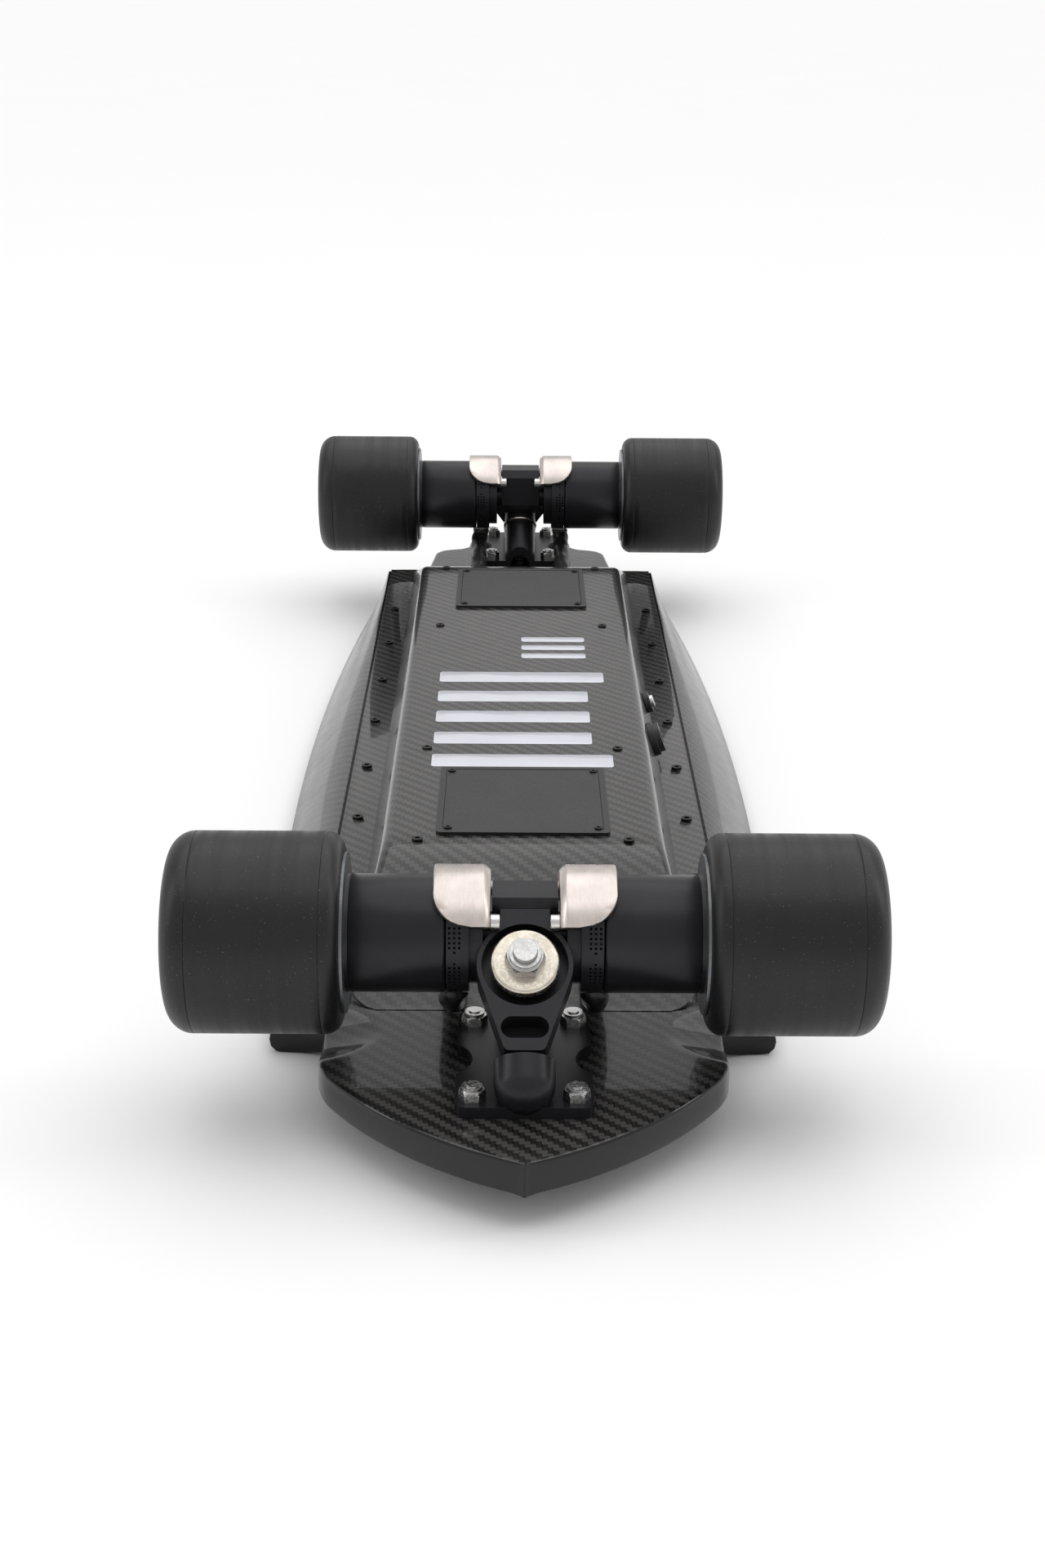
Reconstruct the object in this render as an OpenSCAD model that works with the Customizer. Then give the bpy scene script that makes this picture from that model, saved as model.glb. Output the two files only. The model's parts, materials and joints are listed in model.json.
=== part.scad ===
// Motorised carbon skateboard, lying upside down on its rails with the wheels up.
// X runs across the board, Y from the nose to the tail, Z up from the floor.

/* [Board] */
// Distance between the front and rear axles
wheelbase = 750; // [700:5:800]
// Height of the axle centres above the floor
axle_z = 81; // [80:0.5:84]
// Height of the nose and tail surface that carries the trucks
pad_z = 31; // [30:0.5:31]
// Height of the riding surface between the rails
riding_z = 16.4; // [15:0.2:18]
// Distance from the front axle to the nose tip
nose_reach = 97.6; // [96:0.2:99]
// Distance from the rear axle to the end of the tail
tail_reach = 74.8; // [73:0.2:77]
// Radius of the two long arcs that meet at the nose tip
nose_r = 171; // [168:1:174]
// Largest half width of the deck
deck_half_w = 125.5; // [122:0.5:130]
// Half width of the narrow neck beside the front wheels
neck_half_w = 85; // [80:1:86]

/* [Cover] */
// Height of the flat top of the electronics cover
cover_z = 64; // [60:0.5:66]
// Half length of the flat top of the cover
cover_flat_y = 243; // [235:1:250]
// Half length of the cover at the foot of its ramps
cover_foot_y = 347; // [340:1:348]
// Half width of the cover at its foot
cover_foot_x = 78; // [76:0.5:80]
// Half width of the cover at its top
cover_top_x = 68; // [64:0.5:70]
// Wall thickness of the cover
cover_wall = 2; // [1.6:0.1:2.4]

/* [Wheels] */
// Wheel radius
wheel_r = 41.5; // [40:0.5:42]
// Distance from the centre line to the inner face of a wheel
wheel_in = 74; // [73:0.5:76]
// Distance from the centre line to the outer face of a wheel
wheel_out = 145; // [142:0.5:148]
// Radius of the wheel core under the tyre
hub_r = 31; // [30:0.5:33]

/* [Motors] */
// Outer radius of a motor can
can_r = 24.25; // [24:0.05:24.5]
// Inner end of a motor can
can_in = 32; // [32:0.5:34]
// Radius of the axle rod
axle_r = 4; // [4:0.1:4]

/* [Truck] */
// Elevation of the kingpin above horizontal
kingpin_tilt = 48; // [46:1:50]
// Distance of the steering centre outboard of the axle
centre_y = 21; // [20:0.5:22]
// Height of the steering centre
centre_z = 73.4; // [73:0.2:74]
// Kingpin radius
kingpin_r = 4.75; // [4:0.05:4.75]
// Truck bolt spacing across the board
bolt_dx = 41.3; // [41.3:0.1:41.3]
// Truck bolt spacing along the board
bolt_dy = 63.5; // [63.5:0.1:63.5]

/* [Hidden] */
$fn = 64;

// The origin is midway between the nose tip and the tail end
nose_arc_shift = 64.3;
nose_blend_r = 35;
front_y = -wheelbase / 2 - (tail_reach - nose_reach) / 2;
rear_y = wheelbase / 2 - (tail_reach - nose_reach) / 2;
mid_y = (front_y + rear_y) / 2;

body_end = 328;
side_r = 3105;
side_angle = 7;
widest_y = -40;
seat_z = 37;
seat_x = 92;
rail_z = 13;
flat_x = 62;
scoop_tip = 59;
scoop_tilt = 12;
scoop_r = 60;
scoop_y = 8;
bay_x = 70;
bay_y = 284;
bay_floor = 21;

flange_t = 1.7;
flange_y = 291;
screw_x = 84.5;
screw_pitch = 74;
hatch_y = 187;
hatch_w = 83;
hatch_l = 87;
hatch_rim = 3;
hatch_ledge = 4;
hatch_ledge_t = 0.4;
hatch_plate_t = 1;
fitting_z = 48.6;
port_y = -55;
button_y = 6;
edge_r = 7;
edge_angle = 15;
wall_top = [cover_top_x - edge_r + edge_r * cos(edge_angle), cover_z - edge_r + edge_r * sin(edge_angle)];
wall_tilt = atan2(cover_foot_x - wall_top[0], wall_top[1] - pad_z);
wall_x = cover_foot_x - (fitting_z - pad_z) * tan(wall_tilt);

plate_t = 5;
plate_out = -64;
plate_in = 18;
bolt_out = -56;
washer_w = 8;
seat_w = -8;
tower_w = -22;
head_w = -44;
plate_w = 9;
pin_r = 5.5;
pin_end = 50;
cup_s = 38;
dome_s = 47;
dome_r = 12.2;
flange_in = 17;
flange_out = 22.6;
guard_in = 14;
guard_out = 37;
guard_r = 28.3;
cable_r = 6;
port_bore = 4.2;
port_r = 9.5;
cell_r = 10.6;
cell_pitch = 22;
esc_h = 15;
top_screws = [for (x = [-50, 50], y = [-236, -112, 106, 236]) [x, y]];

// ---- helpers ----------------------------------------------------------

// Points on an arc about c, from angle a0 to a1 in n steps
function arc(c, r, a0, a1, n) = [for (i = [0:n]) let (a = a0 + (a1 - a0) * i / n) c + r * [cos(a), sin(a)]];

// The same points on the other side of x = 0, in reverse order
function mirrored(points) = [for (i = [len(points) - 1:-1:0]) [-points[i][0], points[i][1]]];

// Rectangle with round corners, centred
module round_rect(w, l, r) {
  square([w - 2 * r, l], center = true);
  square([w, l - 2 * r], center = true);
  for (x = [-1, 1], y = [-1, 1]) translate([x * (w / 2 - r), y * (l / 2 - r)]) circle(r);
}

// Extrude a YZ outline along X, centred on x = 0
module along_x(half) {
  rotate([90, 0, 90]) translate([0, 0, -half]) linear_extrude(2 * half) children();
}

// Extrude an XZ outline along Y between two places
module along_y(y0, y1) {
  translate([0, y1, 0]) rotate([90, 0, 0]) linear_extrude(y1 - y0) children();
}

// Place truck parts: local y = 0 is the axle and -y points outboard
module at_front() { translate([0, front_y, 0]) children(); }
module at_rear() { translate([0, rear_y, 0]) rotate([0, 0, 180]) children(); }
module at_both() {
  at_front() children();
  at_rear() children();
}

// Frame at the steering centre whose +Z runs along the kingpin to its nut
module on_kingpin() {
  translate([0, -centre_y, centre_z]) rotate([90 - kingpin_tilt, 0, 0]) children();
}

// Frame at the steering centre whose +Z runs along the steering axis to the pivot cup
module on_pivot() {
  translate([0, -centre_y, centre_z]) rotate([180 - kingpin_tilt, 0, 0]) children();
}

// Frame on the axle whose +Z points to the right
module on_axle() { translate([0, 0, axle_z]) rotate([0, 90, 0]) children(); }

// Copy a right-hand piece to the left as well
module both_sides() {
  children();
  mirror([1, 0, 0]) children();
}

module hex(af, h) { cylinder(d = af / cos(30), h = h, $fn = 6); }

// ---- deck -------------------------------------------------------------

// Cross-section of the right half of the deck body, from the bottom up
body_right = concat(
  [[0, riding_z], [flat_x, riding_z]],
  [for (i = [1:6]) [flat_x + (deck_half_w - 9 - flat_x) * i / 6, riding_z * (1 + cos(30 * i)) / 2]],
  [[deck_half_w - 3, 0.6], [deck_half_w - 0.6, 3.2], [deck_half_w, rail_z / 2],
    [deck_half_w - 1, rail_z - 2], [deck_half_w - 4, rail_z + 0.8]],
  [for (i = [1:6]) let (u = 1 - i / 6)
    [seat_x + 2 + (deck_half_w - 6 - seat_x) * u, seat_z - 1.2 - (seat_z - rail_z - 2.4) * pow(u, 1.35)]],
  [[seat_x + 0.8, seat_z - 2], [seat_x + 0.2, seat_z], [0, seat_z]]);

// Body of the deck: one cross-section, trimmed to a long arc on each side
module deck_body() {
  side = [for (i = [1:len(body_right) - 2]) body_right[i]];
  edge = arc([deck_half_w - side_r, widest_y], side_r, -side_angle, side_angle, 24);
  translate([0, mid_y, 0]) intersection() {
    along_y(-body_end, body_end) polygon(concat(body_right, mirrored(side)));
    translate([0, 0, -1]) linear_extrude(60) polygon(concat(edge, mirrored(edge)));
  }
}

// Nose outline: two long arcs that meet at the tip, each blended into a straight neck
module nose_outline() {
  centre = [-nose_arc_shift, sqrt(nose_r * nose_r - nose_arc_shift * nose_arc_shift) - nose_reach];
  blend_x = neck_half_w - nose_blend_r;
  between = nose_r - nose_blend_r;
  blend = [blend_x, centre[1] - sqrt(between * between - pow(blend_x - centre[0], 2))];
  join_angle = atan2(blend[1] - centre[1], blend[0] - centre[0]);
  long_arc = arc(centre, nose_r, join_angle, -acos(nose_arc_shift / nose_r), 24);
  side = concat([[neck_half_w, wheelbase / 2 - body_end + 5]], arc(blend, nose_blend_r, 0, join_angle, 8),
    [for (i = [1:len(long_arc) - 2]) long_arc[i]]);
  polygon(concat(side, [[0, -nose_reach]], mirrored(side)));
}

// Tail outline: tapered shoulders and a narrower tongue under the truck
module tail_outline() {
  root_y = -(wheelbase / 2 - body_end) - 5;
  shoulder = [[neck_half_w, root_y], [76, -37], [67, -25], [62, 31]];
  intersection() {
    polygon(concat(shoulder, mirrored(shoulder)));
    union() {
      translate([-90, root_y]) square([180, 22 - root_y]);
      translate([0, 11]) round_rect(129, 40, 10);
    }
  }
  translate([0, tail_reach - 50]) round_rect(76, 100, 26);
}

// Clearance for a leaning front wheel, cut deeper towards the edge of the nose
module wheel_scoops() {
  both_sides() translate([scoop_tip, scoop_y, pad_z]) rotate([0, 90 + scoop_tilt, 0])
    translate([-scoop_r, 0, 0]) cylinder(r = scoop_r, h = 60);
}

module truck_holes() {
  for (x = [-1, 1], y = [bolt_out, bolt_out + bolt_dy])
    translate([x * bolt_dx / 2, y, riding_z - 1]) cylinder(r = 2.6, h = pad_z - riding_z + plate_t + 4);
}

module deck() {
  color("#1b1b1d") difference() {
    union() {
      deck_body();
      at_front() translate([0, 0, riding_z]) linear_extrude(pad_z - riding_z) nose_outline();
      translate([0, rear_y, riding_z]) linear_extrude(pad_z - riding_z) tail_outline();
    }
    translate([-bay_x, mid_y - bay_y, bay_floor]) cube([2 * bay_x, 2 * bay_y, seat_z]);
    at_front() wheel_scoops();
    at_both() truck_holes();
    at_both() for (x = [-1, 1], y = [bolt_out, bolt_out + bolt_dy])
      translate([x * bolt_dx / 2, y, riding_z - 0.01]) cylinder(r1 = 5, r2 = 2.6, h = 3);
  }
}

module grip_tape() {
  tape_front = front_y - 50;
  tape_rear = rear_y + 24;
  color("#2a2a2c") translate([0, 0, riding_z - 0.8]) linear_extrude(0.8) difference() {
    translate([0, (tape_front + tape_rear) / 2]) round_rect(2 * flat_x - 4, tape_rear - tape_front, 30);
    at_both() for (x = [-1, 1], y = [bolt_out, bolt_out + bolt_dy])
      translate([x * bolt_dx / 2, y]) circle(6);
  }
}

// ---- electronics ------------------------------------------------------

module battery_pack() {
  color("#2f5d8c") translate([0, mid_y, bay_floor]) {
    translate([-56, -258, 0]) cube([112, 516, 1]);
    for (row = [-3:3], col = [-2:2]) translate([col * cell_pitch, row * 74, cell_r + 0.4])
      rotate([90, 0, 0]) cylinder(r = cell_r, h = 70, center = true);
  }
}

module motor_controller() {
  color("#8a8c8f") translate([0, mid_y, 0]) for (y = [-135, 15])
    translate([-50, y, cover_z - cover_wall - esc_h]) difference() {
      cube([100, 120, esc_h]);
      for (fin = [0:8]) translate([8 + fin * 10.2, -1, 9]) cube([4, 122, esc_h]);
    }
}

// ---- cover ------------------------------------------------------------

// Outer or inner form of the cover, drawn in from its outside by t
module cover_form(t) {
  slope = (cover_foot_y - cover_flat_y) / (cover_z - pad_z);
  edge = arc([cover_top_x - edge_r, cover_z - edge_r], edge_r - t, edge_angle, 90, 6);
  intersection() {
    along_y(-cover_foot_y, cover_foot_y)
      polygon(concat([[-cover_foot_x + t, pad_z], [cover_foot_x - t, pad_z]], edge, mirrored(edge)));
    along_x(100) polygon([
      [-cover_foot_y + t * 4, pad_z], [cover_foot_y - t * 4, pad_z],
      [cover_flat_y - t / slope, cover_z - t], [-cover_flat_y + t / slope, cover_z - t]]);
    linear_extrude(100) round_rect(2 * (cover_foot_x + 4 - t), 2 * (cover_foot_y + 1 - t), 20 - t);
  }
}

module hatch_openings() {
  for (y = [-1, 1]) translate([0, y * hatch_y, cover_z - 10]) linear_extrude(20)
    round_rect(hatch_w - 8, hatch_l - 8, 2);
}

module electronics_cover() {
  color("#26262a") translate([0, mid_y, 0]) difference() {
    union() {
      difference() {
        cover_form(0);
        translate([-100, -body_end - 0.05, 0]) cube([200, 2 * body_end + 0.1, seat_z]);
      }
      translate([0, 0, seat_z]) linear_extrude(flange_t) round_rect(2 * seat_x, 2 * flange_y, 14);
    }
    intersection() {
      cover_form(cover_wall);
      translate([-100, -bay_y, 0]) cube([200, 2 * bay_y, 100]);
    }
    hatch_openings();
    for (x = [-1, 1], i = [-3:3])
      translate([x * screw_x, i * screw_pitch, 0]) cylinder(r = 1.6, h = 60);
    for (p = top_screws) translate([p[0], p[1], cover_z - 5]) cylinder(r = 1.6, h = 10);
    for (x = [-1, 1], y = [-1, 1]) translate([x * cable_x, y * (bay_y - 6), cable_z])
      rotate([-90 * y, 0, 0]) cylinder(r = cable_r + 0.5, h = 80);
    translate([0, -mid_y, 0]) on_wall(port_y) translate([0, 0, -6]) cylinder(r = 7.5, h = 12);
    translate([0, -mid_y, 0]) on_wall(button_y) translate([0, 0, -6]) cylinder(r = 4.5, h = 12);
  }
}

// Frame on the right-hand side wall of the cover whose +Z is the outward normal
module on_wall(y) {
  translate([wall_x, mid_y + y, fitting_z]) rotate([0, 90 - wall_tilt, 0]) children();
}

module screw_head(r, h) {
  difference() {
    cylinder(r = r, h = h);
    translate([0, 0, h / 2]) hex(r * 0.9, h);
  }
}

module cover_flange_screws() {
  color("#151515") translate([0, mid_y, 0]) for (x = [-1, 1], i = [-3:3])
    translate([x * screw_x, i * screw_pitch, seat_z + flange_t]) {
      screw_head(2.8, 1.4);
      translate([0, 0, -flange_t]) cylinder(r = 1.5, h = flange_t);
    }
}

module cover_top_screws() {
  color("#151515") translate([0, mid_y, cover_z]) for (p = top_screws) translate([p[0], p[1], 0]) {
    screw_head(2.6, 0.9);
    translate([0, 0, -cover_wall]) cylinder(r = 1.5, h = cover_wall);
  }
}

// Rim on the cover, a ledge inside it that carries the plate, and a collar in the opening
module hatch_frame(s) {
  inner_w = hatch_w - 2 * hatch_rim;
  inner_l = hatch_l - 2 * hatch_rim;
  color("#121213") translate([0, mid_y + s * hatch_y, 0]) difference() {
    union() {
      translate([0, 0, cover_z]) linear_extrude(1.6) round_rect(hatch_w, hatch_l, 2.5);
      translate([0, 0, cover_z - 4]) linear_extrude(4.1) round_rect(hatch_w - 8.4, hatch_l - 8.4, 2);
    }
    translate([0, 0, cover_z + hatch_ledge_t]) linear_extrude(4) round_rect(inner_w, inner_l, 1.5);
    translate([0, 0, cover_z - 5]) linear_extrude(8)
      round_rect(inner_w - 2 * hatch_ledge, inner_l - 2 * hatch_ledge, 1.5);
    hatch_screw_places() cylinder(r = 1.1, h = 20, center = true);
  }
}

module hatch_screw_places() {
  for (x = [-1, 1], y = [-1, 1])
    translate([x * (hatch_w / 2 - 5.6), y * (hatch_l / 2 - 5.6), cover_z + hatch_ledge_t + hatch_plate_t])
      children();
}

module hatch_plate(s) {
  gap = 0.2;
  color("#3a3a3c") translate([0, mid_y + s * hatch_y, 0]) difference() {
    translate([0, 0, cover_z + hatch_ledge_t]) linear_extrude(hatch_plate_t)
      round_rect(hatch_w - 2 * hatch_rim - 2 * gap, hatch_l - 2 * hatch_rim - 2 * gap, 1.4);
    hatch_screw_places() cylinder(r = 1.1, h = 20, center = true);
  }
}

module front_hatch_frame() { hatch_frame(-1); }
module rear_hatch_frame() { hatch_frame(1); }
module front_hatch_plate() { hatch_plate(-1); }
module rear_hatch_plate() { hatch_plate(1); }

module hatch_screws() {
  color("#0f0f0f") for (s = [-1, 1]) translate([0, mid_y + s * hatch_y, 0]) hatch_screw_places() {
    screw_head(1.9, 0.8);
    translate([0, 0, -4.6]) cylinder(r = 1, h = 4.6);
  }
}

module power_button() {
  color("silver") on_wall(button_y) {
    translate([0, 0, 2.6]) cylinder(r = 3.6, h = 2.6);
    translate([0, 0, -5]) cylinder(r = 2, h = 7.7);
  }
}

module power_button_bezel() {
  color("#151515") on_wall(button_y) difference() {
    union() {
      cylinder(r = 6, h = 3.4);
      translate([0, 0, -9]) cylinder(r = 4.4, h = 9.1);
    }
    translate([0, 0, 0.9]) cylinder(r = 3.66, h = 5);
    translate([0, 0, -7]) cylinder(r = 2.06, h = 12);
  }
}

module charge_port() {
  color("#1a1a1a") on_wall(port_y) difference() {
    union() {
      cylinder(r = port_r, h = 3);
      cylinder(r = port_r - 1.3, h = 6);
      translate([0, 0, -10]) cylinder(r = 7.4, h = 10.1);
    }
    translate([0, 0, -7]) cylinder(r = port_bore, h = 20);
    for (x = [-1, 1]) translate([x * 2, 0, -11]) cylinder(r = 0.9, h = 6);
  }
}

// ---- trucks: parts fixed to the board ---------------------------------

module plate_outline() {
  difference() {
    translate([0, (plate_out + plate_in) / 2]) round_rect(55, plate_in - plate_out, 5);
    for (x = [-1, 1]) translate([x * 36, (plate_out + plate_in) / 2 - 1.5]) circle(15);
  }
}

module baseplate() {
  difference() {
    union() {
      translate([0, 0, pad_z]) linear_extrude(plate_t) plate_outline();
      on_kingpin() translate([0, 0, -62]) cylinder(r = 11, h = 62 + tower_w - 1);
      on_pivot() {
        translate([0, 0, cup_s]) cylinder(r = dome_r, h = dome_s - cup_s);
        translate([0, 0, dome_s]) sphere(r = dome_r);
      }
      translate([-9, -40, pad_z]) cube([18, 44, 10]);
    }
    translate([-60, -120, -30]) cube([120, 220, 30 + pad_z]);
    translate([-60, plate_in, 0]) cube([120, 60, 120]);
    truck_holes();
    on_kingpin() {
      translate([0, 0, -62]) cylinder(r = 7.2, h = 62 + head_w);
      translate([0, 0, -62]) cylinder(r = kingpin_r + 0.05, h = 80);
    }
    on_pivot() translate([0, 0, cup_s - 12]) cylinder(r = 8.02, h = 54 - cup_s + 12);
  }
}

module pivot_cup() {
  on_pivot() difference() {
    translate([0, 0, cup_s]) cylinder(r = 8, h = 53.8 - cup_s);
    translate([0, 0, cup_s - 1]) cylinder(r = pin_r + 0.05, h = pin_end - cup_s + 1.3);
  }
}

module kingpin() {
  on_kingpin() {
    translate([0, 0, head_w]) cylinder(r = kingpin_r, h = 24 - head_w);
    translate([0, 0, head_w - 4.6]) hex(12, 4.7);
  }
}

module kingpin_nut() {
  on_kingpin() difference() {
    translate([0, 0, 12.5]) union() {
      intersection() {
        hex(14.2, 6.6);
        cylinder(r1 = 9.6, r2 = 7.2, h = 6.7);
      }
      cylinder(r = 6.5, h = 8.6);
    }
    cylinder(r = kingpin_r + 0.02, h = 40);
  }
}

module cup_washer() {
  on_kingpin() difference() {
    union() {
      translate([0, 0, washer_w]) cylinder(r = 13.8, h = 4.5);
      translate([0, 0, tower_w - 1]) cylinder(r = 12, h = 1);
    }
    translate([0, 0, washer_w - 1]) cylinder(r = 12.3, h = 3.5);
    translate([0, 0, tower_w - 2]) cylinder(r = kingpin_r + 0.05, h = 50);
  }
}

module bushing(w0, w1, r) {
  on_kingpin() translate([0, 0, w0]) difference() {
    cylinder(r = r, h = w1 - w0);
    translate([0, 0, -1]) cylinder(r = kingpin_r + 0.1, h = w1 - w0 + 2);
  }
}

module mount_bolt() {
  for (x = [-1, 1], y = [bolt_out, bolt_out + bolt_dy]) translate([x * bolt_dx / 2, y, 0]) {
    translate([0, 0, riding_z]) cylinder(r1 = 4.8, r2 = 2.4, h = 2.9);
    translate([0, 0, riding_z + 2.8]) cylinder(r = 2.4, h = pad_z + plate_t + 6 - riding_z - 2.8);
  }
}

module mount_nut() {
  for (x = [-1, 1], y = [bolt_out, bolt_out + bolt_dy])
    translate([x * bolt_dx / 2, y, pad_z + plate_t]) difference() {
      union() {
        intersection() {
          hex(9.5, 4);
          cylinder(r1 = 6.6, r2 = 4.9, h = 4.1);
        }
        cylinder(r = 4.2, h = 5.4);
      }
      translate([0, 0, -1]) cylinder(r = 2.42, h = 10);
    }
}

// ---- phase cables -----------------------------------------------------

cable_x = 30;
cable_z = 43.5;
cable_end = 94;
cable_route = concat([[29, 1, 55.8], [29, 1, 53], [29.5, 3, 50], [30, 8, 46.6], [30, 15, 44.3]],
  [for (y = [24:14:cable_end]) [cable_x, y, cable_z]]);

function unit(v) = v / norm(v);
function route_dir(i) = unit(cable_route[min(i + 1, len(cable_route) - 1)] - cable_route[max(i - 1, 0)]);

module phase_cable() {
  n = 12;
  rings = [for (i = [0:len(cable_route) - 1])
    let (d = i == 0 ? [0, 0, -1] : route_dir(i), side = unit(cross(d, [1, 0, 0])), up = cross(side, d))
    [for (j = [0:n - 1]) cable_route[i] + cable_r * (side * cos(360 * j / n) + up * sin(360 * j / n))]];
  last = len(rings) - 1;
  faces = concat([[for (j = [0:n - 1]) j]], [[for (j = [n - 1:-1:0]) last * n + j]],
    [for (i = [0:last - 1], j = [0:n - 1]) let (k = (j + 1) % n)
      [i * n + j, (i + 1) * n + j, (i + 1) * n + k, i * n + k]]);
  polyhedron([for (r = rings) each r], faces);
}

// ---- trucks: parts that steer -----------------------------------------

// Face of the hanger that carries the kingpin bore, drawn in its own plane
module hanger_face() {
  hull() {
    circle(r = 19.3, $fn = 48);
    for (x = [-1, 1]) translate([x * 6, -33.5]) circle(r = 2.6, $fn = 24);
  }
}

module hanger() {
  difference() {
    union() {
      on_kingpin() translate([0, 0, seat_w]) {
        linear_extrude(plate_w - seat_w) hanger_face();
        translate([-10, 0, 0]) cube([20, 24, plate_w - seat_w]);
      }
      along_x(13.4) polygon([[-9, 101], [8, 101], [12, 96], [12, 76], [1, 67.8], [-6, 75.5], [-9, 84]]);
      on_axle() {
        cylinder(r = 9, h = 140, center = true);
        for (x = [-1, 1]) translate([0, 0, x * (flange_in + flange_out) / 2])
          cylinder(r = 21, h = flange_out - flange_in, center = true);
      }
      on_pivot() translate([0, 0, 30]) cylinder(r = pin_r, h = pin_end - 30);
    }
    on_axle() cylinder(r = axle_r, h = 200, center = true);
    on_kingpin() {
      cylinder(r = 17.4, h = 40);
      translate([0, 0, -30]) cylinder(r = 6.75, h = 60);
      translate([0, -26.5, -4]) linear_extrude(40) {
        square([10, 9], center = true);
        for (x = [-1, 1]) translate([x * 5, 0]) circle(4.5);
      }
      translate([0, 0, -40]) cylinder(r = 12.6, h = 40 + seat_w);
    }
    guard_screw_places() cylinder(r = 1.95, h = 30, center = true);
  }
}

module axle_rod() { on_axle() cylinder(r = axle_r, h = 2 * (wheel_out - 6), center = true); }

module stator() {
  both_sides() on_axle() difference() {
    translate([0, 0, 36]) cylinder(r = 19.4, h = 32);
    for (i = [0:8]) rotate([0, 0, 40 * i]) translate([13.5, -2, 35]) cube([8, 4, 34]);
    cylinder(r = 9, h = 100);
  }
}

module vent_ring() {
  both_sides() on_axle() difference() {
    translate([0, 0, flange_out]) cylinder(r = can_r, h = can_in - 0.4 - flange_out);
    translate([0, 0, flange_out + 2.4]) cylinder(r = 21.6, h = 20);
    cylinder(r = 9, h = 100);
  }
}

module guard() {
  both_sides() difference() {
    intersection() {
      on_axle() difference() {
        translate([0, 0, guard_in]) cylinder(r = guard_r, h = guard_out - guard_in);
        translate([0, 0, flange_in]) cylinder(r = can_r + 0.6, h = 60);
        cylinder(r = 9.5, h = 60);
      }
      translate([0, 0, axle_z]) along_x(60) polygon([[0, 1], [40, 24], [40, 40], [-40, 40], [-40, 24]]);
    }
    guard_screw_places() cylinder(r = 1.95, h = 60, center = true);
  }
}

// Two screws hold each guard to the motor flange of the hanger
module guard_screw_places() {
  for (y = [-1, 1]) translate([0, y * 16.6, axle_z + 12.6]) rotate([0, 90, 0]) children();
}

module guard_screws() {
  both_sides() guard_screw_places() translate([0, 0, guard_in]) {
    translate([0, 0, -3.9]) cylinder(r = 3.3, h = 3.9);
    cylinder(r = 1.9, h = 8);
  }
}

module axle_nuts() {
  both_sides() on_axle() translate([0, 0, wheel_out - 16]) difference() {
    hex(12.7, 6);
    translate([0, 0, -1]) cylinder(r = axle_r + 0.02, h = 8);
  }
}

// ---- wheels, drawn for the right-hand side ----------------------------

// Profile of the tyre as [distance along the axle, radius]
function tyre_profile() = concat(
  [[wheel_in, hub_r], [wheel_out, hub_r]],
  arc([wheel_out - 10.5, wheel_r - 10.5], 10.5, 0, 90, 8),
  arc([wheel_in + 7, wheel_r - 7], 7, 90, 180, 6));

// Turn a profile of [distance, radius] points about the axle
module turned(profile) {
  rotate([0, 90, 0]) rotate_extrude($fn = 96) polygon([for (p = profile) [p[1], p[0]]]);
}

module tyre() { turned(tyre_profile()); }

module hub() {
  difference() {
    turned([[wheel_in - 1.4, can_r], [wheel_in - 1.4, 33], [wheel_in - 0.2, 33], [wheel_in - 0.2, hub_r],
      [wheel_out - 1, hub_r], [wheel_out - 2, hub_r - 2], [wheel_out - 6, 26], [wheel_out - 6, 11],
      [wheel_out - 24, 11], [wheel_out - 24, 8], [92, 8], [92, 11], [84, 11], [84, can_r]]);
    for (i = [0:4]) rotate([72 * i, 0, 0]) translate([wheel_out - 9, 0, 18.5])
      rotate([0, 90, 0]) cylinder(r = 4.2, h = 10);
  }
}

module can() {
  turned([[can_in, 20.4], [can_in, can_r - 0.8], [can_in + 0.8, can_r], [83.4, can_r],
    [83.4, 12], [79, 12], [79, 20.4]]);
}

module bearings() {
  for (x = [84.5, wheel_out - 24]) translate([x, 0, 0]) rotate([0, 90, 0]) {
    difference() {
      cylinder(r = 11, h = 7);
      translate([0, 0, -1]) cylinder(r = 9, h = 9);
    }
    difference() {
      translate([0, 0, 0.4]) cylinder(r = 8.9, h = 6.2);
      translate([0, 0, -1]) cylinder(r = 6, h = 9);
    }
    difference() {
      cylinder(r = 5.9, h = 7);
      translate([0, 0, -1]) cylinder(r = axle_r + 0.03, h = 9);
    }
  }
}

// Place a right-hand wheel part at one of the four wheels
module wheel_at(front, left) {
  translate([0, front ? front_y : rear_y, axle_z]) rotate([0, 0, left ? 180 : 0]) children();
}

// ---- nodes ------------------------------------------------------------

module front_baseplate() { color("#232325") at_front() baseplate(); }
module front_board_bushing() { color("#3b3b3d") at_front() bushing(tower_w, seat_w, 11.4); }
module front_road_bushing() { color("#3b3b3d") at_front() bushing(0, washer_w + 2.5, 12); }
module front_phase_cables() { color("#101010") at_front() both_sides() phase_cable(); }
module front_hanger() { color("#2b2b2f") at_front() hanger(); }
module front_axle() { color("silver") at_front() axle_rod(); }
module front_stators() { color("#b5652d") at_front() stator(); }
module front_vent_rings() { color("#1d1d1f") at_front() vent_ring(); }
module front_guards() { color("#c9c2bc") at_front() guard(); }
module front_guard_screws() { color("silver") at_front() guard_screws(); }
module front_axle_nuts() { color("silver") at_front() axle_nuts(); }
module rear_baseplate() { color("#232325") at_rear() baseplate(); }
module rear_board_bushing() { color("#3b3b3d") at_rear() bushing(tower_w, seat_w, 11.4); }
module rear_road_bushing() { color("#3b3b3d") at_rear() bushing(0, washer_w + 2.5, 12); }
module rear_phase_cables() { color("#101010") at_rear() both_sides() phase_cable(); }
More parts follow.
